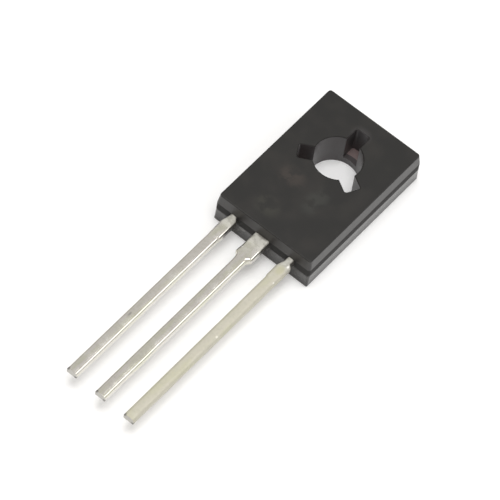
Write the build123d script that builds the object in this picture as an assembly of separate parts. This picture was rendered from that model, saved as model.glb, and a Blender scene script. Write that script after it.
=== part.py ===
from build123d import *
import os
from math import atan2, degrees, hypot, sqrt

# Thyristor in a flat three-lead package, lying on its back. A moulded case with a screw hole holds an
# anode plate that is flush with the back face, the three leads, the chip, its solder and two bond wires.
# Millimetres. The origin is where the axis of the screw hole meets the back face. +X runs from the
# cathode lead to the gate lead, +Y away from the leads and +Z out of the front face.

# Moulded case
CASE_WIDTH = 7.48  # across the parting band
CASE_LENGTH = 11.09  # along the parting band
CASE_HEIGHT = 2.6
HOLE_TO_FAR_END = 3.82  # from the hole's axis to the end away from the leads
BAND_LOW = 1.12  # the upright parting band, at the level of the leads
BAND_HIGH = 1.78
UPPER_INSET = 0.1  # how far the upper half leans in on each side
LOWER_INSET = 0.01  # how far the lower half leans in on each side
CORNER_RADIUS = 0.2  # upright corners at the band and above
BACK_CORNER_RADIUS = 0.08  # upright corners at the back face
FRONT_EDGE_RADIUS = 0.06  # rim of the front face
BACK_EDGE_RADIUS = 0.05  # rim of the back face

# Screw hole, with the pockets of the three pins that hold the plate down during moulding
HOLE_RADIUS = 1.6
HOLE_RIM_CHAMFER = 0.05
POCKET_WIDTH = 1.04
POCKET_REACH = 2.54  # outer end of a pocket, from the hole's axis
POCKET_END_RADIUS = 0.16
POCKET_ANGLES = (90, 210, 330)

# Strip metal of the plate and the leads
METAL = 0.5  # thickness
LEAD_BOTTOM = 1.27  # underside of the leads above the back face
LEAD_PITCH = 2.29
LEAD_WIDTH = 0.76
CATHODE_LENGTH = 15.24  # leads from the case to their cut ends
ANODE_LENGTH = 15.29
GATE_LENGTH = 15.35
ROLLED_EDGE = 0.18  # radius that stamping leaves along the upper edges of the leads
CORNER_BLEND = 0.2  # corners of the stamped outlines

# Anode plate with the middle lead
PLATE_WIDTH = 5.6
PLATE_FAR_END = 2.95
PLATE_NEAR_END = -4.9
PLATE_CORNER = 0.5
PLATE_HOLE_RADIUS = 1.95  # larger than the screw hole, so that the moulding lines it
LEDGE_WIDTH = 0.25  # coined ledge along the back edges, which the moulding grips
LEDGE_HEIGHT = 0.2
NECK_WIDTH = 1.7  # between the plate and the root of the lead
RISE_START = -5.15  # where the neck bends up from the plate
RISE_END = -6.2  # where it levels out at the height of the leads
BEND_RADIUS = 0.35
ROOT_WIDTH = 1.2  # wide root of the middle lead
ROOT_LENGTH = 1.8
SHOULDER_RADIUS = 0.4  # hollow curve from the root to the lead

# Outer leads, measured from their centre lines and from the case
WAIST_WIDTH = 0.52  # narrow waist at the case
PAD_OUTER_EDGE = 0.4  # trimmed pad beyond the waist, towards the side of the case
PAD_INNER_EDGE = 0.43  # and towards the middle lead
CATHODE_INNER_TAPER = (0.05, 0.25)  # where the waist starts and stops to widen into the pad
CATHODE_OUTER_TAPER = (0.1, 0.7)
GATE_INNER_TAPER = (0.4, 0.95)
GATE_OUTER_TAPER = (0.35, 0.5)
PAD_END = 1.85
PAD_STEP = 0.15
HEAD_WIDTH = 1.5  # bonding head inside the case
HEAD_LENGTH = 1.2
HEAD_DEPTH = 0.7  # how far inside the case the head starts

# Chip, solder and bond wires
CHIP_SIZE = 2.2
CHIP_HEIGHT = 0.28
CHIP_CENTRE_Y = -3.5
SOLDER_HEIGHT = 0.05
SOLDER_MARGIN = 0.1
CATHODE_WIRE = 0.3  # wire diameters
GATE_WIRE = 0.2
CATHODE_PAD = (-0.35, -3.3)
GATE_PAD = (0.7, -4.2)
WIRE_PEAK = 2.1  # height of a wire's axis at the top of its loop
WIRE_CREST = (0.22, 0.62)  # where the loop levels out and falls, as shares of the span
FOOT_WIDTH = 1.5  # flattened feet of the wires and their bends, in wire diameters
FOOT_LENGTH = 2.6
FOOT_HEIGHT = 0.6
WIRE_BEND = 2

FRONT_Y = HOLE_TO_FAR_END - CASE_LENGTH
CASE_CENTRE_Y = FRONT_Y + CASE_LENGTH / 2
LEAD_TOP = LEAD_BOTTOM + METAL
CHIP_BOTTOM = METAL + SOLDER_HEIGHT
CHIP_TOP = CHIP_BOTTOM + CHIP_HEIGHT
HEAD_CENTRE_Y = FRONT_Y + HEAD_DEPTH + HEAD_LENGTH / 2


def case_section(inset, radius, height):
    """Rounded rectangle of the case at one height, drawn in from the parting band on every side."""
    outline = RectangleRounded(CASE_WIDTH - 2 * inset, CASE_LENGTH - 2 * inset, radius)
    return Pos(0, CASE_CENTRE_Y, height) * outline


def make_case_blank():
    """Outer form of the case: a drafted lower half, an upright parting band and a drafted upper half."""
    band_low = case_section(0, CORNER_RADIUS, BAND_LOW)
    band_high = case_section(0, CORNER_RADIUS, BAND_HIGH)
    lower = loft([case_section(LOWER_INSET, BACK_CORNER_RADIUS, 0), band_low])
    upper = loft([band_high, case_section(UPPER_INSET, CORNER_RADIUS, CASE_HEIGHT)])
    lower = fillet(lower.faces().sort_by(Axis.Z)[0].edges(), BACK_EDGE_RADIUS)
    upper = fillet(upper.faces().sort_by(Axis.Z)[-1].edges(), FRONT_EDGE_RADIUS)
    return lower + extrude(band_low, BAND_HIGH - BAND_LOW) + upper


def make_hole():
    """Screw hole through the case, with the three pin pockets that end on the plate."""
    hole = Pos(0, 0, CASE_HEIGHT / 2) * Cylinder(HOLE_RADIUS, CASE_HEIGHT)
    slot = fillet(Rectangle(2 * POCKET_REACH, POCKET_WIDTH).vertices(), POCKET_END_RADIUS)
    outer_half = slot & Pos(POCKET_REACH, 0) * Rectangle(2 * POCKET_REACH, 2 * POCKET_WIDTH)
    for angle in POCKET_ANGLES:
        hole += extrude(Pos(0, 0, METAL) * Rot(0, 0, angle) * outer_half, CASE_HEIGHT - METAL)
    return hole


def make_case(inner_pieces):
    """Case with its hole, moulded round the pieces that it holds."""
    drilled = make_case_blank() - make_hole()
    rim = drilled.faces().sort_by(Axis.Z)[-1].inner_wires()[0]
    drilled = chamfer(rim.edges(), HOLE_RIM_CHAMFER)
    for piece in inner_pieces:
        drilled -= piece
    return drilled


def rectangle_between(x_low, x_high, y_low, y_high):
    """Rectangle given by its sides."""
    return Pos((x_low + x_high) / 2, (y_low + y_high) / 2) * Rectangle(x_high - x_low, y_high - y_low)


def roll_upper_edges(strip):
    """Strip with the rounded edges that stamping leaves outside the case, up to its sharp cut end."""
    upper = strip.faces().filter_by(Axis.Z).sort_by(Axis.Z)[-1]
    outside = upper.edges().filter_by(lambda edge: edge.bounding_box().min.Y < FRONT_Y)
    return fillet(outside.sort_by(Axis.Y)[1:], ROLLED_EDGE)


def anode_outline():
    """Stamped outline of the plate and the middle lead, before bending."""
    tip = FRONT_Y - ANODE_LENGTH
    root_end = FRONT_Y - ROOT_LENGTH
    step = (ROOT_WIDTH - LEAD_WIDTH) / 2
    shoulder_end = root_end - sqrt(SHOULDER_RADIUS**2 - (SHOULDER_RADIUS - step) ** 2)
    plate = rectangle_between(-PLATE_WIDTH / 2, PLATE_WIDTH / 2, PLATE_NEAR_END, PLATE_FAR_END)
    plate = chamfer(plate.vertices(), PLATE_CORNER)
    neck = rectangle_between(-NECK_WIDTH / 2, NECK_WIDTH / 2, RISE_END, PLATE_NEAR_END)
    root = rectangle_between(-ROOT_WIDTH / 2, ROOT_WIDTH / 2, shoulder_end, RISE_END)
    for side in (-1, 1):
        root -= Pos(side * (LEAD_WIDTH / 2 + SHOULDER_RADIUS), shoulder_end) * Circle(SHOULDER_RADIUS)
    lead = rectangle_between(-LEAD_WIDTH / 2, LEAD_WIDTH / 2, tip, shoulder_end)
    return plate + neck + root + lead - Circle(PLATE_HOLE_RADIUS)


def coin_ledge(plate):
    """Plate with the ledge along its back edges and under its neck, which the moulding grips."""
    half = PLATE_WIDTH / 2
    around = rectangle_between(-half, half, RISE_END, PLATE_FAR_END)
    flush = rectangle_between(
        LEDGE_WIDTH - half, half - LEDGE_WIDTH, PLATE_NEAR_END + LEDGE_WIDTH, PLATE_FAR_END - LEDGE_WIDTH
    )
    return plate - extrude(around - chamfer(flush.vertices(), PLATE_CORNER), LEDGE_HEIGHT)


def make_anode_plate():
    """Plate with the middle lead: the stamped outline, bent up at the neck and coined along its back."""
    tip = FRONT_Y - ANODE_LENGTH
    underside = FilletPolyline(
        (PLATE_FAR_END, 0), (RISE_START, 0), (RISE_END, LEAD_BOTTOM), (tip, LEAD_BOTTOM), radius=BEND_RADIUS
    )
    profile = make_face(offset(underside, METAL, side=Side.RIGHT, kind=Kind.INTERSECTION))
    bent = extrude(Plane.YZ * profile, PLATE_WIDTH / 2, both=True)
    return coin_ledge(roll_upper_edges(extrude(anode_outline(), CASE_HEIGHT) & bent))


def make_outer_lead(side, length, inner_taper, outer_taper):
    """Outer lead with its bonding head, narrow waist and trimmed pad, on the -X (-1) or +X (1) side."""
    half = LEAD_WIDTH / 2
    waist = WAIST_WIDTH / 2
    head = HEAD_WIDTH / 2
    inner_edge = [
        (-head, -HEAD_DEPTH - HEAD_LENGTH),
        (-head, -HEAD_DEPTH),
        (-waist, -HEAD_DEPTH),
        (-waist, inner_taper[0]),
        (-PAD_INNER_EDGE, inner_taper[1]),
        (-PAD_INNER_EDGE, PAD_END),
        (-half, PAD_END + PAD_STEP),
        (-half, length),
    ]
    outer_edge = [
        (half, length),
        (half, PAD_END + PAD_STEP),
        (PAD_OUTER_EDGE, PAD_END),
        (PAD_OUTER_EDGE, outer_taper[1]),
        (waist, outer_taper[0]),
        (waist, -HEAD_DEPTH),
        (head, -HEAD_DEPTH),
        (head, -HEAD_DEPTH - HEAD_LENGTH),
    ]
    points = [(side * (LEAD_PITCH + across), FRONT_Y - along) for across, along in inner_edge + outer_edge]
    outline = make_face(Polyline(*points, close=True))
    corners = outline.vertices().filter_by(lambda corner: FRONT_Y - length < corner.Y < FRONT_Y)
    outline = fillet(corners, CORNER_BLEND)
    return roll_upper_edges(Pos(0, 0, LEAD_BOTTOM) * extrude(outline, METAL))


def make_chip():
    """Silicon chip on the plate."""
    return Pos(0, CHIP_CENTRE_Y, CHIP_BOTTOM + CHIP_HEIGHT / 2) * Box(CHIP_SIZE, CHIP_SIZE, CHIP_HEIGHT)


def make_chip_solder():
    """Solder layer between the chip and the plate, with a margin round the chip."""
    size = CHIP_SIZE + 2 * SOLDER_MARGIN
    layer = RectangleRounded(size, size, 2 * SOLDER_MARGIN)
    return Pos(0, CHIP_CENTRE_Y, METAL) * extrude(layer, SOLDER_HEIGHT)


def make_wire(diameter, pad, head):
    """Bond wire that rises from its foot on the chip, loops over and comes down on a lead's head."""
    span = hypot(head[0] - pad[0], head[1] - pad[1])
    turn = degrees(atan2(head[1] - pad[1], head[0] - pad[0]))
    path = FilletPolyline(
        (0, 0, CHIP_TOP + diameter / 2),
        (span * WIRE_CREST[0], 0, WIRE_PEAK),
        (span * WIRE_CREST[1], 0, WIRE_PEAK),
        (span, 0, LEAD_TOP + diameter / 2),
        radius=WIRE_BEND * diameter,
    )
    wire = sweep(Plane(path @ 0, z_dir=path % 0) * Circle(diameter / 2), path=path)
    foot = extrude(SlotOverall(FOOT_LENGTH * diameter, FOOT_WIDTH * diameter), FOOT_HEIGHT * diameter)
    wire += Pos(0, 0, CHIP_TOP) * foot
    wire += Pos(span, 0, LEAD_TOP) * foot
    return Pos(pad[0], pad[1], 0) * Rot(0, 0, turn) * wire


held = {
    "anode_plate": make_anode_plate(),
    "cathode_lead": make_outer_lead(-1, CATHODE_LENGTH, CATHODE_INNER_TAPER, CATHODE_OUTER_TAPER),
    "gate_lead": make_outer_lead(1, GATE_LENGTH, GATE_INNER_TAPER, GATE_OUTER_TAPER),
    "chip": make_chip(),
    "chip_solder": make_chip_solder(),
    "cathode_wire": make_wire(CATHODE_WIRE, CATHODE_PAD, (-LEAD_PITCH, HEAD_CENTRE_Y)),
    "gate_wire": make_wire(GATE_WIRE, GATE_PAD, (LEAD_PITCH, HEAD_CENTRE_Y)),
}
nodes = {"case": make_case(held.values()), **held}

os.makedirs("parts", exist_ok=True)
for name, piece in nodes.items():
    piece.label = name
    export_step(piece, f"parts/{name}.step")
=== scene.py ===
import logging
import math
from dataclasses import dataclass, field
from enum import Enum

import bmesh
import bpy
import numpy as np
from mathutils import Matrix, Vector


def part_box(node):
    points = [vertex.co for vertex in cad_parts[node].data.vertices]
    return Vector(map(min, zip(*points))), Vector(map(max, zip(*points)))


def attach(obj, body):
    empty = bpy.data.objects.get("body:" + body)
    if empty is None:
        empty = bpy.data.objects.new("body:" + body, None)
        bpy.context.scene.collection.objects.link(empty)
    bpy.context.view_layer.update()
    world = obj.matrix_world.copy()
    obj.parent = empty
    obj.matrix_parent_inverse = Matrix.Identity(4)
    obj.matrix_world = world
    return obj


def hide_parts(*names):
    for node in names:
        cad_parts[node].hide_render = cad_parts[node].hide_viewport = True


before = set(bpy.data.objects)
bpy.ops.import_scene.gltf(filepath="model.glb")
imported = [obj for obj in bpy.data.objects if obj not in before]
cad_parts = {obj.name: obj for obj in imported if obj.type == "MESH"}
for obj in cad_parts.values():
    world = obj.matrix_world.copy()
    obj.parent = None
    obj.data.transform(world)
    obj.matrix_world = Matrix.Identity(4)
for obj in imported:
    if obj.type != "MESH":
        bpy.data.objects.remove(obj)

# The looks of a thyristor in a flat three-lead package. Sizes are in millimetres unless a name says
# otherwise. The frame's origin is where the axis of the screw hole meets the back face, +Y points away from
# the leads and +Z out of the front face.

log = logging.getLogger("thyristor")
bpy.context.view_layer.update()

MM = 0.001
BODY = "root"
SPOT_CORE = 0.35

Colour = tuple[float, float, float]
Point = tuple[float, float, float]
Corner = tuple[float, float]
Span = tuple[float, float]
Inputs = dict[str | int, object]
Socket = bpy.types.NodeSocket


class NodeSketch:
    """Adds nodes to a node tree and links them, so that a tree reads from its sources to its end."""

    def __init__(self, tree: bpy.types.NodeTree) -> None:
        """Keeps the tree that the nodes go into."""
        self.tree = tree

    def add(self, kind: str, inputs: Inputs | None = None, **settings: object) -> bpy.types.Node:
        """Adds one node.

        Args:
            kind: Type name of the node.
            inputs: Values or source sockets, by the input's name or place.
            **settings: The node's own options.

        Returns:
            The new node.
        """
        node = self.tree.nodes.new(kind)
        for name, value in settings.items():
            setattr(node, name, value)
        for key, value in (inputs or {}).items():
            if isinstance(value, Socket):
                self.tree.links.new(value, node.inputs[key])
            else:
                node.inputs[key].default_value = value
        return node

    def math(self, operation: str, first: object, second: object = 0.0) -> Socket:
        """Result of a Math node on two numbers or sockets."""
        return self.add("ShaderNodeMath", {0: first, 1: second}, operation=operation).outputs[0]

    def vector(self, operation: str, first: object, second: object) -> Socket:
        """Result of a Vector Math node on two vectors or sockets."""
        return self.add("ShaderNodeVectorMath", {0: first, 1: second}, operation=operation).outputs[0]

    def noise(self, place: Socket, feature: float, detail: float = 3.0) -> Socket:
        """Noise around 0.5 whose features are about as many millimetres across as asked."""
        inputs = {"Vector": place, "Scale": 1 / (feature * MM), "Detail": detail}
        return self.add("ShaderNodeTexNoise", inputs).outputs[0]

    def ease(self, value: object, low: float, high: float, start: object = 0.0, end: object = 1.0) -> Socket:
        """Smooth step from start to end while the value goes from low to high.

        Args:
            value: Number or socket to follow.
            low: Value at which the step begins.
            high: Value at which it ends.
            start: Result up to low.
            end: Result from high on.

        Returns:
            The stepped value.
        """
        inputs = {"Value": value, "From Min": low, "From Max": high, "To Min": start, "To Max": end}
        return self.add("ShaderNodeMapRange", inputs, interpolation_type="SMOOTHSTEP").outputs[0]

    def mix(self, share: object, first: object, second: object) -> Socket:
        """Colour between two colours, by a share from 0 to 1."""
        inputs = {0: share, 6: rgba(first), 7: rgba(second)}
        return self.add("ShaderNodeMix", inputs, data_type="RGBA").outputs[2]

    def spot(self, place: Socket, centre: Point, radius: Point) -> Socket:
        """Soft spot on the surface.

        Args:
            place: Socket with the place on the object, in metres.
            centre: Middle of the spot.
            radius: Reach of the spot along X, Y and Z.

        Returns:
            A share that is 1 in the middle of the spot and 0 outside it.
        """
        away = self.vector("SUBTRACT", place, tuple(c * MM for c in centre))
        away = self.vector("DIVIDE", away, tuple(r * MM for r in radius))
        length = self.add("ShaderNodeVectorMath", {0: away}, operation="LENGTH").outputs["Value"]
        return self.ease(length, SPOT_CORE, 1.0, 1.0, 0.0)


def rgba(colour: object) -> object:
    """Colour with an alpha of 1, or the socket that was given."""
    return (*colour, 1.0) if isinstance(colour, tuple) and len(colour) == 3 else colour


def new_material(name: str) -> tuple[bpy.types.Material, NodeSketch, Socket]:
    """Starts a node material.

    Args:
        name: Name of the material.

    Returns:
        The material, a sketch on its cleared tree and the socket with the place on the object.
    """
    material = bpy.data.materials.new(name)
    material.use_nodes = True
    material.node_tree.nodes.clear()
    sketch = NodeSketch(material.node_tree)
    place = sketch.add("ShaderNodeTexCoord").outputs["Object"]
    return material, sketch, place


@dataclass(frozen=True)
class StainAndPaintedLight:
    """A local spot of colour on a surface, for real marks and for painted light and shade: where it is, its
    reach and colour, and its strength from patch to patch.
    """

    centre: Point
    radius: Point
    colour: Colour
    strength: float
    least: float = 0.0

    def lay(self, sketch: NodeSketch, place: Socket, patches: Socket, spread: Span, colour: Socket
            ) -> Socket:
        """Lays the mark over a colour.

        Args:
            sketch: Sketch on the material's tree.
            place: Socket with the place on the object, in metres.
            patches: Noise that makes the mark uneven.
            spread: Values of that noise at which the mark is weakest and strongest.
            colour: Colour below the mark.

        Returns:
            The colour with the mark on it.
        """
        share = sketch.spot(place, self.centre, self.radius)
        share = sketch.math("MULTIPLY", share, sketch.ease(patches, *spread, self.least, self.strength))
        return sketch.mix(share, colour, self.colour)


@dataclass(frozen=True)
class CaseZones:
    """Places on the case, as shares from 0 to 1, and the height above the back face."""

    height: Socket
    above: Socket
    band: Socket
    side: Socket
    front: Socket
    hole: Socket


@dataclass(frozen=True)
class MouldedEpoxy:
    """Matt black filled epoxy as it comes out of the mould, glossier on the sides than on the front; its
    colour paints sheen on the sides and light and shade in the hole.
    """

    name: str = "moulded_epoxy"
    colour: Colour = (0.0075, 0.0069, 0.0058)
    cloud: Colour = (0.013, 0.0112, 0.0092)
    # Lighter tone on the case's sides: painted sheen, uneven with the clouds.
    side_sheen_colour: Colour = (0.024, 0.0222, 0.0208)
    sheen_least: float = 0.7
    band_colour: Colour = (0.015, 0.014, 0.013)
    # Much lighter tone on the walls of the hole and its pockets: painted light in the hole.
    hole_painted_light: Colour = (0.05, 0.043, 0.044)
    specular: float = 0.31
    ior: float = 1.62
    foot_gloss: float = 0.0
    lower_gloss: float = 0.42
    upper_gloss: float = 0.24
    hole_gloss: float = 0.3
    gloss_rough: float = 0.3
    lower_rough: float = 0.18
    upper_rough: float = 0.36
    front_rough: float = 0.45
    hole_rough: float = 0.42
    band_rough: float = 0.8
    uneven: float = 0.03
    band: Span = (1.12, 1.78)
    band_edge: float = 0.03
    hole_reach: float = 3.0
    front_level: float = 2.55
    cloud_size: float = 1.6
    patch_size: float = 0.7
    patch_spread: Span = (0.4, 0.6)
    grain_size: float = 0.05
    grain_depth: float = 0.008
    grain_strength: float = 0.25
    smudges_and_shade: tuple[StainAndPaintedLight, ...] = (
        StainAndPaintedLight((-1.27, -3.03, 2.6), (1.3, 1.0, 0.3), (0.03, 0.023, 0.0185), strength=0.9, least=0.1),
        StainAndPaintedLight((-0.99, -5.79, 2.6), (1.2, 1.0, 0.3), (0.024, 0.0228, 0.017), strength=0.9, least=0.1),
        StainAndPaintedLight((1.02, -3.45, 2.6), (0.9, 1.6, 0.3), (0.023, 0.0232, 0.0195), strength=0.9, least=0.1),
        StainAndPaintedLight((-1.54, -7.27, 1.0), (0.34, 0.2, 0.2), (0.1, 0.098, 0.094), strength=0.9, least=0.8),
        # Painted shade: a slightly darker tone in the far ear pocket of the hole.
        StainAndPaintedLight((0.0, 2.3, 1.9), (1.0, 0.9, 1.4), (0.042, 0.039, 0.04), strength=0.95, least=0.9),
    )

    def material(self) -> bpy.types.Material:
        """Builds the material: clouds, smears, painted sheen on the sides, painted light and shade in the
        hole, a rough parting band, glossy sides and a mould grain.

        Returns:
            The material.
        """
        material, sketch, place = new_material(self.name)
        zones = self._zones(sketch, place)
        clouds = sketch.noise(place, self.cloud_size, 4.0)
        grain = sketch.noise(place, self.grain_size, 2.0)
        bump = sketch.add("ShaderNodeBump", {
            "Height": grain, "Strength": self.grain_strength, "Distance": self.grain_depth * MM})
        surface = sketch.add("ShaderNodeBsdfPrincipled", {
            "Base Color": self._colour(sketch, place, zones, clouds),
            "Roughness": self._roughness(sketch, zones, clouds),
            "Coat Weight": self._gloss(sketch, zones), "Coat Roughness": self.gloss_rough,
            "Specular IOR Level": self.specular, "IOR": self.ior, "Normal": bump.outputs[0]})
        sketch.add("ShaderNodeOutputMaterial", {"Surface": surface.outputs[0]})
        return material

    def _zones(self, sketch: NodeSketch, place: Socket) -> CaseZones:
        """Finds the places on the case.

        Args:
            sketch: Sketch on the material's tree.
            place: Socket with the place on the object, in metres.

        Returns:
            The zones.
        """
        height = sketch.add("ShaderNodeSeparateXYZ", {0: place}).outputs["Z"]
        low, high = (level * MM for level in self.band)
        edge = self.band_edge * MM
        above = sketch.ease(height, low - edge, low + edge)
        below = sketch.ease(height, high - edge, high + edge, 1.0, 0.0)
        flat = sketch.vector("MULTIPLY", place, (1.0, 1.0, 0.0))
        from_axis = sketch.add("ShaderNodeVectorMath", {0: flat}, operation="LENGTH").outputs["Value"]
        outside = sketch.math("GREATER_THAN", from_axis, self.hole_reach * MM)
        band = sketch.math("MULTIPLY", sketch.math("MULTIPLY", above, below), outside)
        front = sketch.ease(height, self.front_level * MM - edge, self.front_level * MM)
        side = sketch.math("MULTIPLY", outside, sketch.math("SUBTRACT", 1.0, front))
        hole = sketch.math("SUBTRACT", 1.0, sketch.math("MAXIMUM", outside, front))
        return CaseZones(height, above, band, side, front, hole)

    def _colour(self, sketch: NodeSketch, place: Socket, zones: CaseZones, clouds: Socket) -> Socket:
        """Colour of each zone, clouded, with painted sheen on the sides, painted light in the hole, and the
        smears and a painted shade in the far pocket on it.

        Args:
            sketch: Sketch on the material's tree.
            place: Socket with the place on the object, in metres.
            zones: Places on the case.
            clouds: Noise of the clouds.

        Returns:
            The colour.
        """
        colour = sketch.mix(sketch.ease(clouds, 0.4, 0.7), self.colour, self.cloud)
        # Painted sheen: the sides get a lighter tone, uneven with the clouds.
        side_sheen = sketch.math("MULTIPLY", zones.side, sketch.ease(clouds, 0.3, 0.7, self.sheen_least, 1.0))
        colour = sketch.mix(side_sheen, colour, self.side_sheen_colour)
        colour = sketch.mix(zones.band, colour, self.band_colour)
        # Painted light: the walls of the hole get a much lighter tone.
        colour = sketch.mix(zones.hole, colour, self.hole_painted_light)
        patches = sketch.noise(place, self.patch_size)
        # The smears, and the painted shade in the far pocket.
        for laid_mark in self.smudges_and_shade:
            colour = laid_mark.lay(sketch, place, patches, self.patch_spread, colour)
        return colour

    def _roughness(self, sketch: NodeSketch, zones: CaseZones, clouds: Socket) -> Socket:
        """Roughness of each zone, a little uneven with the clouds.

        Args:
            sketch: Sketch on the material's tree.
            zones: Places on the case.
            clouds: Noise of the clouds.

        Returns:
            The roughness.
        """
        low, edge = self.band[0] * MM, self.band_edge * MM
        rough = sketch.ease(zones.height, low - edge, low + edge, self.lower_rough, self.upper_rough)
        rough = sketch.math("MAXIMUM", rough, sketch.math("MULTIPLY", zones.front, self.front_rough))
        rough = sketch.math("ADD", rough, sketch.ease(clouds, 0.3, 0.7, -self.uneven, self.uneven))
        rough = sketch.math("MAXIMUM", rough, sketch.math("MULTIPLY", zones.hole, self.hole_rough))
        return sketch.math("MAXIMUM", rough, sketch.math("MULTIPLY", zones.band, self.band_rough))

    def _gloss(self, sketch: NodeSketch, zones: CaseZones) -> Socket:
        """Glossy skin on the sides, fading towards the back face, and in the hole.

        Args:
            sketch: Sketch on the material's tree.
            zones: Places on the case.

        Returns:
            The weight of the skin.
        """
        gloss = sketch.ease(zones.height, 0.0, self.band[0] * MM, self.foot_gloss, self.lower_gloss)
        gloss = sketch.ease(zones.above, 0.0, 1.0, gloss, self.upper_gloss)
        gloss = sketch.math("MULTIPLY", gloss, sketch.math("SUBTRACT", zones.side, zones.band))
        return sketch.math("ADD", gloss, sketch.math("MULTIPLY", zones.hole, self.hole_gloss))


class Lustre(Enum):
    """How a tinned surface shines: its mean roughness."""

    SATIN = 0.18
    MATT = 0.52


@dataclass(frozen=True)
class TinZones:
    """Dull places on a tinned strip, as shares from 0 to 1; the sides near the case also carry a painted
    dark reflection of the case.
    """

    root: Socket
    side: Socket
    sunk: Socket
    cut: Socket


@dataclass(frozen=True)
class TinPlate:
    """Tin plating with cloudy, yellowish and pale patches and fine lines along the strip, and a painted dark
    reflection of the case on its sides near the case.
    """

    name: str
    lustre: Lustre
    metal: float = 1.0
    tone: Colour = (0.735, 0.708, 0.662)
    yellow: Colour = (0.7, 0.692, 0.585)
    pale: Colour = (0.8, 0.785, 0.745)
    grey: Colour = (0.62, 0.605, 0.55)
    pale_share: float = 0.5
    grey_share: float = 0.4
    root_tone: Colour = (0.535, 0.525, 0.475)
    root_dark: Colour = (0.4, 0.39, 0.345)
    root_y: Span = (-8.6, -7.75)
    # Dark tone on the lead's sides and rolled edges near the case: painted reflection of the black case.
    case_reflection_tone: Colour = (0.06, 0.056, 0.05)
    case_reflection_y: Span = (-8.35, -8.05)
    level_facing: Span = (0.6, 0.95)
    sunk_tone: Colour = (0.2, 0.15, 0.145)
    sunk: Span = (0.3, 0.9)
    cut_tone: Colour = (0.5, 0.485, 0.45)
    cut_facing: float = -0.95
    dull_metal: float = 0.1
    dull_rough: float = 0.32
    uneven: float = 0.04
    streak_size: float = 0.5
    streak_shrink: float = 0.25
    patch_size: float = 0.9
    patch_spread: Span = (0.3, 0.55)
    fleck_size: float = 0.2
    mottle_size: float = 0.28
    line_size: float = 0.05
    line_shrink: float = 0.03
    line_depth: float = 0.003
    line_strength: float = 0.1
    stains_and_painted_light: tuple[StainAndPaintedLight, ...] = ()

    def material(self) -> bpy.types.Material:
        """Builds the material: streaked metal colour, real marks and painted light and shade, uneven
        roughness and drawing lines.

        Returns:
            The material.
        """
        material, sketch, place = new_material(self.name)
        zones = self._zones(sketch, place)
        patches = sketch.noise(place, self.patch_size, 5.0)
        drawn = sketch.vector("MULTIPLY", place, (1.0, self.line_shrink, 1.0))
        lines = sketch.noise(drawn, self.line_size, 2.0)
        dull = sketch.math("MAXIMUM", zones.root, zones.sunk)
        dull = sketch.math("MAXIMUM", dull, sketch.math("MAXIMUM", zones.side, zones.cut))
        smoothest, roughest = self.lustre.value - self.uneven, self.lustre.value + self.uneven
        rough = sketch.ease(patches, 0.3, 0.7, smoothest, roughest)
        rough = sketch.math("MAXIMUM", rough, sketch.math("MULTIPLY", dull, self.dull_rough))
        bump = sketch.add("ShaderNodeBump", {
            "Height": lines, "Strength": self.line_strength, "Distance": self.line_depth * MM})
        surface = sketch.add("ShaderNodeBsdfPrincipled", {
            "Base Color": self._colour(sketch, place, zones, patches), "Roughness": rough,
            "Metallic": sketch.ease(dull, 0.0, 1.0, self.metal, self.dull_metal), "Normal": bump.outputs[0]})
        sketch.add("ShaderNodeOutputMaterial", {"Surface": surface.outputs[0]})
        return material

    def _zones(self, sketch: NodeSketch, place: Socket) -> TinZones:
        """Finds the dull places: the root on top and on its sides, whose colour is also a painted dark
        reflection of the case, the sunk plate and the cut end.

        Args:
            sketch: Sketch on the material's tree.
            place: Socket with the place on the object, in metres.

        Returns:
            The zones.
        """
        part = sketch.add("ShaderNodeSeparateXYZ", {0: place}).outputs
        facing = sketch.add("ShaderNodeNewGeometry").outputs["True Normal"]
        facing = sketch.add("ShaderNodeSeparateXYZ", {0: facing}).outputs
        root = sketch.ease(part["Y"], *(y * MM for y in self.root_y))
        # Sides and rolled edges near the case, where the painted dark reflection of the case goes.
        upright = sketch.ease(sketch.math("ABSOLUTE", facing["Z"]), *self.level_facing, 1.0, 0.0)
        side = sketch.math("MULTIPLY", upright, sketch.ease(part["Y"], *(y * MM for y in self.case_reflection_y)))
        low, high = (level * MM for level in self.sunk)
        above = sketch.math("GREATER_THAN", part["Z"], low)
        sunk = sketch.math("MULTIPLY", above, sketch.math("LESS_THAN", part["Z"], high))
        cut = sketch.math("LESS_THAN", facing["Y"], self.cut_facing)
        return TinZones(root, side, sunk, cut)

    def _colour(self, sketch: NodeSketch, place: Socket, zones: TinZones, patches: Socket) -> Socket:
        """Streaked and flecked tin, with the tone of each dull zone, a painted dark reflection of the case
        on the sides near it, and the spots of real marks and painted light on it.

        Args:
            sketch: Sketch on the material's tree.
            place: Socket with the place on the object, in metres.
            zones: Dull places on the strip.
            patches: Noise of the patches.

        Returns:
            The colour.
        """
        streaked = sketch.vector("MULTIPLY", place, (1.0, self.streak_shrink, 1.0))
        streaks = sketch.noise(streaked, self.streak_size, 4.0)
        flecks = sketch.noise(place, self.fleck_size, 2.0)
        mottle = sketch.noise(place, self.mottle_size)
        colour = sketch.mix(sketch.ease(streaks, 0.42, 0.68), self.tone, self.yellow)
        colour = sketch.mix(sketch.ease(patches, 0.5, 0.75, 0.0, self.pale_share), colour, self.pale)
        colour = sketch.mix(sketch.ease(flecks, 0.45, 0.7, 0.0, self.grey_share), colour, self.grey)
        dull_root = sketch.mix(sketch.ease(mottle, 0.42, 0.62), self.root_tone, self.root_dark)
        colour = sketch.mix(zones.root, colour, dull_root)
        # Painted reflection of the black case on the sides and rolled edges near it.
        colour = sketch.mix(zones.side, colour, self.case_reflection_tone)
        colour = sketch.mix(zones.sunk, colour, self.sunk_tone)
        colour = sketch.mix(zones.cut, colour, self.cut_tone)
        for laid_spot in self.stains_and_painted_light:
            colour = laid_spot.lay(sketch, place, patches, self.patch_spread, colour)
        return colour


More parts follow.
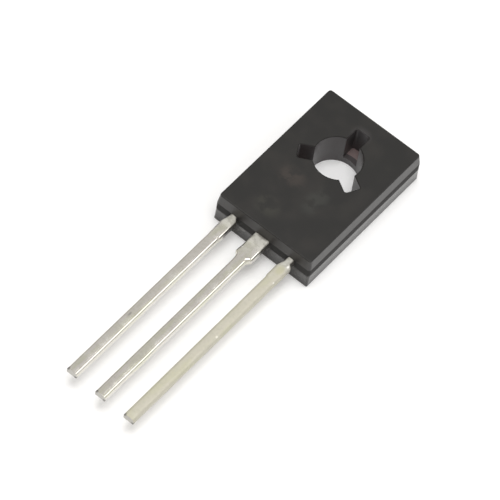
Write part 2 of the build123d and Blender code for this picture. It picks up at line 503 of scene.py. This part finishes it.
@dataclass(frozen=True)
class InnerFinish:
    """Finish of a piece inside the case: two tones, metal or not, with a fine grain."""

    name: str
    colour: Colour
    second: Colour
    metallic: float
    roughness: float
    grain: float
    grain_depth: float = 0.004
    grain_strength: float = 0.2
    uneven: float = 0.05

    def material(self) -> bpy.types.Material:
        """Builds the material: two tones mixed by a grain that also roughens the surface a little.

        Returns:
            The material.
        """
        material, sketch, place = new_material(self.name)
        grain = sketch.noise(place, self.grain)
        colour = sketch.mix(sketch.ease(grain, 0.35, 0.65), self.colour, self.second)
        rough = sketch.ease(grain, 0.3, 0.7, self.roughness - self.uneven, self.roughness + self.uneven)
        bump = sketch.add("ShaderNodeBump", {
            "Height": grain, "Strength": self.grain_strength, "Distance": self.grain_depth * MM})
        surface = sketch.add("ShaderNodeBsdfPrincipled", {
            "Base Color": colour, "Metallic": self.metallic, "Roughness": rough,
            "Normal": bump.outputs[0]})
        sketch.add("ShaderNodeOutputMaterial", {"Surface": surface.outputs[0]})
        return material


@dataclass(frozen=True)
class StudioWhite:
    """White floor that keeps a soft shadow and is lifted to plain white where nothing shades it."""

    name: str = "studio_white"
    colour: Colour = (0.9, 0.9, 0.9)
    second: Colour = (0.891, 0.891, 0.891)
    mottle_size: float = 40.0
    lift: float = 0.08

    def material(self) -> bpy.types.Material:
        """Builds the material: a diffuse white, with the lift only for seen and mirrored rays.

        Returns:
            The material.
        """
        material, sketch, place = new_material(self.name)
        path = sketch.add("ShaderNodeLightPath").outputs
        shown = sketch.math("MAXIMUM", path["Is Camera Ray"], path["Is Glossy Ray"])
        shown = sketch.math("MAXIMUM", shown, path["Is Transmission Ray"])
        mottle = sketch.noise(place, self.mottle_size, 2.0)
        paper = sketch.add("ShaderNodeBsdfDiffuse", {"Color": sketch.mix(mottle, self.colour, self.second)})
        strength = sketch.math("MULTIPLY", shown, self.lift)
        glow = sketch.add("ShaderNodeEmission", {"Color": rgba((1.0, 1.0, 1.0)), "Strength": strength})
        both = sketch.add("ShaderNodeAddShader", {0: paper.outputs[0], 1: glow.outputs[0]})
        sketch.add("ShaderNodeOutputMaterial", {"Surface": both.outputs[0]})
        return material


@dataclass
class StripRule:
    """Geometry Nodes rule that makes a stamped and tinned strip along a path.

    The path's points carry the reach of the strip to either side. The section is a rectangle with rolled
    upper edges and a slightly crowned upper face, and the tin lies on it in low ripples.
    """

    name: str = "tinned_strip"
    roll_steps: int = 6
    section_points: int = 56
    ripple_detail: float = 2.5
    lengths: tuple[str, ...] = ("Width", "Thickness", "Roll", "Foot", "Crown", "Ripple", "Ripple Size")

    def tree(self) -> bpy.types.NodeTree:
        """Builds the node tree.

        Returns:
            The tree, with a named input for each size, the seed and the material.
        """
        tree = bpy.data.node_groups.new(self.name, "GeometryNodeTree")
        tree.is_modifier = True
        tree.interface.new_socket("Path", in_out="INPUT", socket_type="NodeSocketGeometry")
        for length in self.lengths:
            tree.interface.new_socket(length, in_out="INPUT", socket_type="NodeSocketFloat")
        tree.interface.new_socket("Seed", in_out="INPUT", socket_type="NodeSocketFloat")
        tree.interface.new_socket("Finish", in_out="INPUT", socket_type="NodeSocketMaterial")
        tree.interface.new_socket("Strip", in_out="OUTPUT", socket_type="NodeSocketGeometry")
        sketch = NodeSketch(tree)
        size = sketch.add("NodeGroupInput").outputs
        strip = self._tube(sketch, size)
        strip = self._widen(sketch, size, strip)
        strip = self._ripple(sketch, size, strip)
        for attribute in ("axis", "reach_left", "reach_right"):
            inputs = {"Geometry": strip, "Name": attribute}
            strip = sketch.add("GeometryNodeRemoveAttribute", inputs).outputs[0]
        strip = sketch.add("GeometryNodeSetShadeSmooth", {"Geometry": strip}).outputs[0]
        strip = sketch.add("GeometryNodeRealizeInstances", {0: strip}).outputs[0]
        strip = sketch.add("GeometryNodeSetMaterial", {"Geometry": strip, "Material": size["Finish"]})
        sketch.add("NodeGroupOutput", {0: strip.outputs[0]})
        return tree

    def _read(self, sketch: NodeSketch, attribute: str, kind: str = "FLOAT") -> Socket:
        """Named attribute of the strip's points."""
        return sketch.add("GeometryNodeInputNamedAttribute", {"Name": attribute}, data_type=kind).outputs[0]

    def _tube(self, sketch: NodeSketch, size: bpy.types.NodeOutputs) -> Socket:
        """Sweeps the section with its rolled edges along the path.

        Args:
            sketch: Sketch on the tree.
            size: The tree's inputs.

        Returns:
            The closed tube, whose points know the place of the path beside them.
        """
        path = sketch.add("GeometryNodeMeshToCurve", {"Mesh": size["Path"]}).outputs[0]
        path = sketch.add("GeometryNodeSetCurveNormal", {"Curve": path}, mode="Z_UP").outputs[0]
        position = sketch.add("GeometryNodeInputPosition").outputs[0]
        path = sketch.add("GeometryNodeStoreNamedAttribute", {
            "Geometry": path, "Name": "axis", "Value": position}, data_type="FLOAT_VECTOR").outputs[0]
        section = sketch.add("GeometryNodeCurvePrimitiveQuadrilateral", {
            "Width": size["Width"], "Height": size["Thickness"]}).outputs[0]
        upper = sketch.math("LESS_THAN", sketch.add("ShaderNodeSeparateXYZ", {0: position}).outputs["Y"])
        more = sketch.math("MULTIPLY", upper, sketch.math("SUBTRACT", size["Roll"], size["Foot"]))
        section = sketch.add("GeometryNodeFilletCurve", {
            "Curve": section, "Count": self.roll_steps, "Radius": sketch.math("ADD", size["Foot"], more)},
            mode="POLY").outputs[0]
        section = sketch.add("GeometryNodeResampleCurve", {
            "Curve": section, "Count": self.section_points}).outputs[0]
        return sketch.add("GeometryNodeCurveToMesh", {
            "Curve": path, "Profile Curve": section, "Fill Caps": True}).outputs[0]

    def _widen(self, sketch: NodeSketch, size: bpy.types.NodeOutputs, strip: Socket) -> Socket:
        """Moves the sides out to the stamped outline and crowns the upper face.

        Args:
            sketch: Sketch on the tree.
            size: The tree's inputs.
            strip: The swept tube.

        Returns:
            The strip with its outline.
        """
        position = sketch.add("GeometryNodeInputPosition").outputs[0]
        away = sketch.vector("SUBTRACT", position, self._read(sketch, "axis", "FLOAT_VECTOR"))
        part = sketch.add("ShaderNodeSeparateXYZ", {0: away}).outputs
        half = sketch.math("MULTIPLY", size["Width"], 0.5)
        flat = sketch.math("SUBTRACT", half, size["Roll"])
        share = sketch.math("DIVIDE", sketch.math("ABSOLUTE", part["X"]), flat)
        share = sketch.math("MINIMUM", share, 1.0)
        right = sketch.math("GREATER_THAN", part["X"])
        left = sketch.math("SUBTRACT", 1.0, right)
        more_right = sketch.math("SUBTRACT", self._read(sketch, "reach_right"), half)
        more_left = sketch.math("SUBTRACT", self._read(sketch, "reach_left"), half)
        to_right = sketch.math("MULTIPLY", right, more_right)
        to_left = sketch.math("MULTIPLY", left, more_left)
        across = sketch.math("MULTIPLY", share, sketch.math("SUBTRACT", to_right, to_left))
        crown = sketch.math("MULTIPLY", size["Crown"], sketch.math("MULTIPLY", share, share))
        drop = sketch.math("MULTIPLY", crown, sketch.math("GREATER_THAN", part["Z"]))
        offset = sketch.add("ShaderNodeCombineXYZ", {"X": across, "Z": sketch.math("MULTIPLY", drop, -1.0)})
        moved = sketch.add("GeometryNodeSetPosition", {"Geometry": strip, "Offset": offset.outputs[0]})
        return moved.outputs[0]

    def _ripple(self, sketch: NodeSketch, size: bpy.types.NodeOutputs, strip: Socket) -> Socket:
        """Lays the tin on in low ripples, by noise with a seed.

        Args:
            sketch: Sketch on the tree.
            size: The tree's inputs.
            strip: The strip with its outline.

        Returns:
            The rippled strip.
        """
        position = sketch.add("GeometryNodeInputPosition").outputs[0]
        scale = sketch.math("DIVIDE", 1.0, size["Ripple Size"])
        noise = sketch.add("ShaderNodeTexNoise", {
            "Vector": position, "W": size["Seed"], "Scale": scale, "Detail": self.ripple_detail},
            noise_dimensions="4D")
        height = sketch.math("MULTIPLY", sketch.math("SUBTRACT", noise.outputs[0], 0.5), size["Ripple"])
        normal = sketch.add("GeometryNodeInputNormal").outputs[0]
        offset = sketch.add("ShaderNodeVectorMath", {0: normal, "Scale": height}, operation="SCALE")
        moved = sketch.add("GeometryNodeSetPosition", {"Geometry": strip, "Offset": offset.outputs[0]})
        return moved.outputs[0]


@dataclass
class Lead:
    """One lead: the CAD node that it stands for, its outline outside the case and its tin."""

    name: str
    node: str
    centre: float
    left: list[Corner]
    right: list[Corner]
    finish: TinPlate
    seed: float
    roll: float = 0.18
    crown: float = 0.012
    width: float = 0.76
    foot: float = 0.03
    ripple: float = 0.01
    ripple_size: float = 0.9
    step: float = 0.04
    blend: float = 0.05
    blend_steps: int = 9
    root_depth: float = 0.35
    end_gap: float = 0.004
    weld: float = 0.0001
    sharp_angle: float = 40.0

    def build(self, rule: bpy.types.NodeTree, front_y: float) -> bpy.types.Object:
        """Makes the lead from its outline and joins the part of the CAD node inside the case to it.

        Args:
            rule: Geometry Nodes tree of the strip.
            front_y: Y of the case's front, in metres.

        Returns:
            The lead as a plain mesh object.
        """
        low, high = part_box(self.node)
        piece = self._path(front_y, low.y, high.z)
        modifier = piece.modifiers.new("strip", "NODES")
        modifier.node_group = rule
        thickness = self._thickness()
        values = {
            "Width": self.width * MM, "Thickness": thickness, "Roll": self.roll * MM, "Foot": self.foot * MM,
            "Crown": self.crown * MM, "Ripple": self.ripple * MM, "Ripple Size": self.ripple_size * MM,
            "Seed": self.seed, "Finish": self.finish.material(),
        }
        for item in rule.interface.items_tree:
            if item.in_out == "INPUT" and item.name in values:
                modifier[item.identifier] = values[item.name]
        plain = bpy.data.meshes.new_from_object(piece.evaluated_get(bpy.context.evaluated_depsgraph_get()))
        piece.modifiers.clear()
        piece.data = self._join_inner(plain, front_y)
        return piece

    def _thickness(self) -> float:
        """Thickness of the strip metal, from the chip's place on the plate."""
        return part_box("chip_solder")[0].z

    def _path(self, front_y: float, tip_y: float, top_z: float) -> bpy.types.Object:
        """Makes the path of the strip, with the outline's reach at each of its points.

        Args:
            front_y: Y of the case's front, in metres.
            tip_y: Y of the cut end, in metres.
            top_z: Height of the upper face, in metres.

        Returns:
            A mesh object of one line of points.
        """
        length = (front_y - tip_y) / MM - self.end_gap
        count = round((length + self.root_depth) / self.step)
        along = np.linspace(-self.root_depth, length, count + 1)
        attributes = {
            "reach_left": self._reach(along, self.left),
            "reach_right": self._reach(along, self.right),
        }
        level = top_z - self._thickness() / 2
        mesh = bpy.data.meshes.new(self.name)
        points = [(self.centre * MM, front_y - a * MM, level) for a in along]
        mesh.from_pydata(points, [(i, i + 1) for i in range(count)], [])
        for name, values in attributes.items():
            mesh.attributes.new(name, "FLOAT", "POINT").data.foreach_set("value", values * MM)
        piece = bpy.data.objects.new(self.name, mesh)
        bpy.context.scene.collection.objects.link(piece)
        return piece

    def _reach(self, along: np.ndarray, outline: list[Corner]) -> np.ndarray:
        """Reach of the strip to one side at each place along it, with the outline's corners blended."""
        shifts = np.linspace(-self.blend, self.blend, self.blend_steps)
        return np.mean([np.interp(along + shift, *zip(*outline)) for shift in shifts], axis=0)

    def _join_inner(self, outer: bpy.types.Mesh, front_y: float) -> bpy.types.Mesh:
        """Joins the part of the CAD node that lies inside the case to the strip.

        Args:
            outer: The strip, which starts inside the case.
            front_y: Y of the case's front, in metres.

        Returns:
            One mesh of both.
        """
        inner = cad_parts[self.node].data.copy()
        inner.attributes.remove(inner.attributes["custom_normal"])
        shell = bmesh.new()
        shell.from_mesh(inner)
        bmesh.ops.remove_doubles(shell, verts=shell.verts, dist=self.weld * MM)
        everything = shell.verts[:] + shell.edges[:] + shell.faces[:]
        cut = bmesh.ops.bisect_plane(
            shell, geom=everything, plane_co=(0, front_y + self.root_depth * MM, 0), plane_no=(0, -1, 0),
            clear_outer=True)
        rim = [edge for edge in cut["geom_cut"] if isinstance(edge, bmesh.types.BMEdge)]
        bmesh.ops.holes_fill(shell, edges=rim)
        for face in shell.faces:
            face.material_index = 0
        shell.from_mesh(outer)
        shell.to_mesh(outer)
        shell.free()
        outer.set_sharp_from_angle(angle=math.radians(self.sharp_angle))
        return outer


@dataclass
class LeadFrame:
    """The three leads: cathode, anode with its plate, and gate."""

    pitch: float = 2.29
    half: float = 0.38
    root_half: float = 0.6
    root_start: float = -1.0
    root_length: float = 1.8
    shoulder_radius: float = 0.4
    shoulder_steps: int = 8
    burr_start: float = 1.2
    burr: tuple[Corner, ...] = ((1.76, 0.645), (1.84, 0.63), (1.96, 0.45), (2.3, 0.39))
    burr_end: float = 2.6
    waist: float = 0.26
    pad_outer: float = 0.4
    pad_inner: float = 0.43
    cathode_tapers: tuple[Span, Span] = ((0.1, 0.7), (0.05, 0.25))
    gate_tapers: tuple[Span, Span] = ((0.35, 0.5), (0.4, 0.95))
    pad_end: float = 1.85
    pad_step: float = 0.15
    # Dark corners at the cut ends; the lower one is a painted shadow of the burr.
    corner_dark: Colour = (0.1, 0.095, 0.085)
    corner_aside: float = 0.34
    corner_heights: Span = (1.32, 1.7)

    def shoulder(self) -> list[Corner]:
        """Outline of the middle lead's right side: the wide root and the hollow curve to the lead.

        Returns:
            Its corners, each a place along the lead and a reach to the side.
        """
        rise = self.root_half - self.half
        depth = math.sqrt(self.shoulder_radius**2 - (self.shoulder_radius - rise) ** 2)
        corners = [(self.root_start, self.root_half), (self.root_length, self.root_half)]
        for step in range(1, self.shoulder_steps + 1):
            left = depth * (1 - step / self.shoulder_steps)
            reach = self.half + self.shoulder_radius - math.sqrt(self.shoulder_radius**2 - left**2)
            corners.append((self.root_length + depth - left, reach))
        return corners

    def burred_side(self) -> list[Corner]:
        """Outline of the middle lead's left side, where the trimming left a burr at the end of the root."""
        root = [(self.root_start, self.root_half), (self.burr_start, self.root_half)]
        return [*root, *self.burr, (self.burr_end, self.half)]

    def pads(self, tapers: tuple[Span, Span]) -> list[list[Corner]]:
        """Outlines of an outer lead: the waist, the trimmed pad and the lead.

        Args:
            tapers: Where the outer and the inner side widen from the waist to the pad.

        Returns:
            The outer and the inner side.
        """
        lead = (self.pad_end + self.pad_step, self.half)
        return [
            [(start, self.waist), (end, edge), (self.pad_end, edge), lead]
            for (start, end), edge in zip(tapers, (self.pad_outer, self.pad_inner))
        ]

    def dark_corners(self, node: str, centre: float) -> tuple[StainAndPaintedLight, StainAndPaintedLight]:
        """Dark corners at a lead's cut end, where the shears drew the metal down: a darker upper corner, and
        a painted shadow of the burr at the lower corner.

        Args:
            node: CAD node of the lead.
            centre: X of the lead's middle line.

        Returns:
            The marks at the upper left and the lower right corner.
        """
        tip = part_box(node)[0].y / MM
        low, high = self.corner_heights
        upper = (centre - self.corner_aside, tip, high)
        lower = (centre + self.corner_aside, tip, low)
        return (StainAndPaintedLight(upper, (0.2, 0.2, 0.2), self.corner_dark, strength=0.9, least=0.8),
                StainAndPaintedLight(lower, (0.18, 0.2, 0.18), self.corner_dark, strength=0.9, least=0.8))

    def top(self) -> float:
        """Height of the leads' upper faces."""
        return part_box("gate_lead")[1].z / MM

    def cathode_tin(self) -> TinPlate:
        """Tin of the left lead, with a scratch and the dark corners at its cut end, the lower one a painted
        shadow.
        """
        marks_and_painted_light = (
            *self.dark_corners("cathode_lead", -self.pitch),
            StainAndPaintedLight((-2.36, -17.08, self.top()), (0.1, 0.25, 0.1), (0.45, 0.43, 0.4), strength=0.7, least=0.5),
        )
        return TinPlate("tin_cathode", Lustre.SATIN, case_reflection_y=(-8.95, -8.6), stains_and_painted_light=marks_and_painted_light)

    def anode_tin(self) -> TinPlate:
        """Tin of the middle lead and its plate, with a pale speck, a darker top where it meets the case and
        the dark corners at its cut end, the lower one a painted shadow.
        """
        top = self.top()
        marks_and_painted_light = (
            *self.dark_corners("anode_plate", 0.0),
            # Darker across the top where the lead meets the case.
            StainAndPaintedLight((0.0, -7.3, top), (0.6, 0.16, 0.2), (0.16, 0.15, 0.13), strength=0.9, least=0.3),
            StainAndPaintedLight((-0.49, -8.65, top), (0.1, 0.1, 0.1), (0.95, 0.94, 0.92), strength=0.9, least=0.8),
        )
        return TinPlate("tin_anode", Lustre.SATIN, stains_and_painted_light=marks_and_painted_light)

    def gate_tin(self) -> TinPlate:
        """Duller and yellower tin of the right lead, with a yellowish blot, two painted highlights, a pale
        speck and the dark corners at its cut end, the lower one a painted shadow.
        """
        top = self.top()
        marks_and_painted_light = (
            *self.dark_corners("gate_lead", self.pitch),
            StainAndPaintedLight((2.33, -8.4, top), (0.35, 0.5, 0.3), (0.47, 0.455, 0.31), strength=0.7, least=0.4),
            # Painted highlights: two bright glints near the root.
            StainAndPaintedLight((2.55, -7.9, top), (0.1, 0.14, 0.12), (0.95, 0.94, 0.9), strength=0.9, least=0.8),
            StainAndPaintedLight((2.65, -9.38, top), (0.1, 0.14, 0.12), (0.95, 0.94, 0.9), strength=0.9, least=0.8),
            StainAndPaintedLight((2.56, -14.73, top), (0.1, 0.13, 0.12), (0.78, 0.76, 0.68), strength=0.8, least=0.7),
        )
        return TinPlate(
            "tin_gate", Lustre.MATT, metal=0.35, tone=(0.51, 0.488, 0.408), yellow=(0.5, 0.487, 0.37),
            pale=(0.57, 0.55, 0.475), grey=(0.44, 0.427, 0.35), case_reflection_y=(-7.9, -7.65), stains_and_painted_light=marks_and_painted_light)

    def leads(self) -> list[Lead]:
        """Plans the three leads.

        Returns:
            Cathode, anode and gate.
        """
        cathode_outer, cathode_inner = self.pads(self.cathode_tapers)
        gate_outer, gate_inner = self.pads(self.gate_tapers)
        return [
            Lead("cathode_strip", "cathode_lead", -self.pitch, cathode_outer, cathode_inner,
                 self.cathode_tin(), seed=1.0),
            Lead("anode_strip", "anode_plate", 0.0, self.burred_side(), self.shoulder(),
                 self.anode_tin(), seed=2.0),
            Lead("gate_strip", "gate_lead", self.pitch, gate_inner, gate_outer,
                 self.gate_tin(), seed=3.0, crown=0.003),
        ]

    def build(self) -> list[bpy.types.Object]:
        """Builds the three leads and lets each stand for its CAD node.

        Returns:
            The finished pieces.
        """
        rule = StripRule().tree()
        front_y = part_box("case")[0].y
        pieces = []
        for lead in self.leads():
            piece = lead.build(rule, front_y)
            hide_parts(lead.node)
            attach(piece, BODY)
            pieces.append(piece)
        return pieces


@dataclass
class CadPieces:
    """The pieces that keep their CAD form, with the finish of each."""

    finishes: dict[str, MouldedEpoxy | InnerFinish] = field(default_factory=lambda: {
        "case": MouldedEpoxy(),
        "chip": InnerFinish(
            "silicon", (0.1, 0.11, 0.13), (0.14, 0.15, 0.17), metallic=0.0, roughness=0.2, grain=0.08),
        "chip_solder": InnerFinish(
            "solder", (0.42, 0.42, 0.43), (0.5, 0.5, 0.5), metallic=1.0, roughness=0.4, grain=0.1),
        "cathode_wire": InnerFinish(
            "heavy_wire", (0.78, 0.78, 0.79), (0.84, 0.84, 0.84), metallic=1.0, roughness=0.25, grain=0.05),
        "gate_wire": InnerFinish(
            "fine_wire", (0.78, 0.78, 0.79), (0.84, 0.84, 0.84), metallic=1.0, roughness=0.25, grain=0.05),
    })

    def dress(self) -> list[bpy.types.Object]:
        """Gives each of these nodes its material.

        Returns:
            The dressed nodes.
        """
        pieces = []
        for node, finish in self.finishes.items():
            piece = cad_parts[node]
            piece.data.materials.clear()
            piece.data.materials.append(finish.material())
            pieces.append(piece)
        return pieces


@dataclass(frozen=True)
class SoftLight:
    """A square area lamp: where it stands, how wide it is and how bright its face is."""

    name: str
    place: Point
    width: float
    brightness: float
    aim: Point = (0.0, -8.0, 0.0)

    def build(self) -> None:
        """Adds the lamp, turned to the object, with the power that gives its face that brightness."""
        lamp = bpy.data.lights.new(self.name, "AREA")
        lamp.size = self.width * MM
        lamp.energy = self.brightness * math.pi * lamp.size**2
        holder = bpy.data.objects.new(self.name, lamp)
        holder.location = Vector(self.place) * MM
        holder.rotation_euler = (Vector(self.aim) - Vector(self.place)).to_track_quat("-Z", "Y").to_euler()
        bpy.context.scene.collection.objects.link(holder)


@dataclass
class Studio:
    """Floor, lamps, surroundings and camera."""

    floor_width: float = 6000.0
    floor_drop: float = 0.01
    floor_cells: int = 8
    horizon: float = 0.85
    zenith: float = 0.66
    zenith_height: float = 0.8
    tint: Colour = (1.0, 0.98, 0.955)
    dim_side: Point = (-0.86, 0.5, 0.0)
    dim: float = 0.7
    dim_spread: Span = (0.2, 0.9)
    dim_heights: Span = (0.2, 0.6)
    lamps: tuple[SoftLight, ...] = (
        SoftLight("overhead", (18.0, -20.0, 400.0), width=235.0, brightness=5.3),
        SoftLight("side_card", (201.0, 142.0, 198.0), width=110.0, brightness=2.5),
    )
    picture: float = 500.0
    focal_pixels: float = 4221.5
    sensor: float = 36.0
    distance: float = 259.19
    near_clip: float = 10.0
    azimuth: float = 30.991
    elevation: float = 56.844
    roll: float = 10.3
    target: Point = (-0.1106, -8.2772, 1.3018)

    def build(self) -> None:
        """Builds the stage and sets the view's colours."""
        self._floor()
        self._surroundings()
        for lamp in self.lamps:
            lamp.build()
        self._camera()
        bpy.context.scene.view_settings.view_transform = "Standard"

    def _floor(self) -> None:
        """Adds the floor just under the object."""
        sheet = bmesh.new()
        cells, half = self.floor_cells, self.floor_width * MM / 2
        bmesh.ops.create_grid(sheet, x_segments=cells, y_segments=cells, size=half)
        bmesh.ops.translate(sheet, verts=sheet.verts, vec=(0, 0, -self.floor_drop * MM))
        mesh = bpy.data.meshes.new("floor")
        sheet.to_mesh(mesh)
        sheet.free()
        mesh.materials.append(StudioWhite().material())
        floor = bpy.data.objects.new("floor", mesh)
        bpy.context.scene.collection.objects.link(floor)

    def _surroundings(self) -> None:
        """Makes the world a white room that is a little darker overhead and low down on one side."""
        world = bpy.data.worlds.new("white_room")
        world.use_nodes = True
        world.node_tree.nodes.clear()
        sketch = NodeSketch(world.node_tree)
        direction = sketch.add("ShaderNodeTexCoord").outputs["Generated"]
        height = sketch.add("ShaderNodeSeparateXYZ", {0: direction}).outputs["Z"]
        strength = sketch.ease(height, 0.0, self.zenith_height, self.horizon, self.zenith)
        compared = {0: direction, 1: self.dim_side}
        towards = sketch.add("ShaderNodeVectorMath", compared, operation="DOT_PRODUCT").outputs["Value"]
        shade = sketch.ease(towards, *self.dim_spread, 0.0, self.dim)
        shade = sketch.math("MULTIPLY", shade, sketch.ease(height, *self.dim_heights, 1.0, 0.0))
        strength = sketch.math("MULTIPLY", strength, sketch.math("SUBTRACT", 1.0, shade))
        glow = sketch.add("ShaderNodeBackground", {"Color": rgba(self.tint), "Strength": strength})
        sketch.add("ShaderNodeOutputWorld", {"Surface": glow.outputs[0]})
        bpy.context.scene.world = world

    def _camera(self) -> None:
        """Adds the camera at the photograph's viewing angle."""
        azimuth, elevation, roll = (math.radians(a) for a in (self.azimuth, self.elevation, self.roll))
        back = Vector((
            math.sin(azimuth) * math.cos(elevation), -math.cos(azimuth) * math.cos(elevation),
            math.sin(elevation)))
        right = (-back).cross(Vector((0, 0, 1))).normalized()
        up = right.cross(-back)
        turned_right = right * math.cos(roll) + up * math.sin(roll)
        turned_up = up * math.cos(roll) - right * math.sin(roll)
        lens = bpy.data.cameras.new("camera")
        lens.sensor_width = self.sensor
        lens.lens = self.focal_pixels * self.sensor / self.picture
        lens.clip_start = self.near_clip * MM
        holder = bpy.data.objects.new("camera", lens)
        axes = Matrix((turned_right, turned_up, back)).transposed()
        place = (Vector(self.target) + back * self.distance) * MM
        holder.matrix_world = Matrix.Translation(place) @ axes.to_4x4()
        bpy.context.scene.collection.objects.link(holder)
        bpy.context.scene.camera = holder


def report(pieces: list[bpy.types.Object]) -> None:
    """Logs each piece with its count of faces."""
    for piece in pieces:
        log.info("%s: %d faces", piece.name, len(piece.data.polygons))


def main() -> None:
    """Builds the object and its stage."""
    logging.basicConfig(level=logging.INFO, format="%(message)s")
    report(CadPieces().dress())
    report(LeadFrame().build())
    Studio().build()


if __name__ == "__main__":
    main()
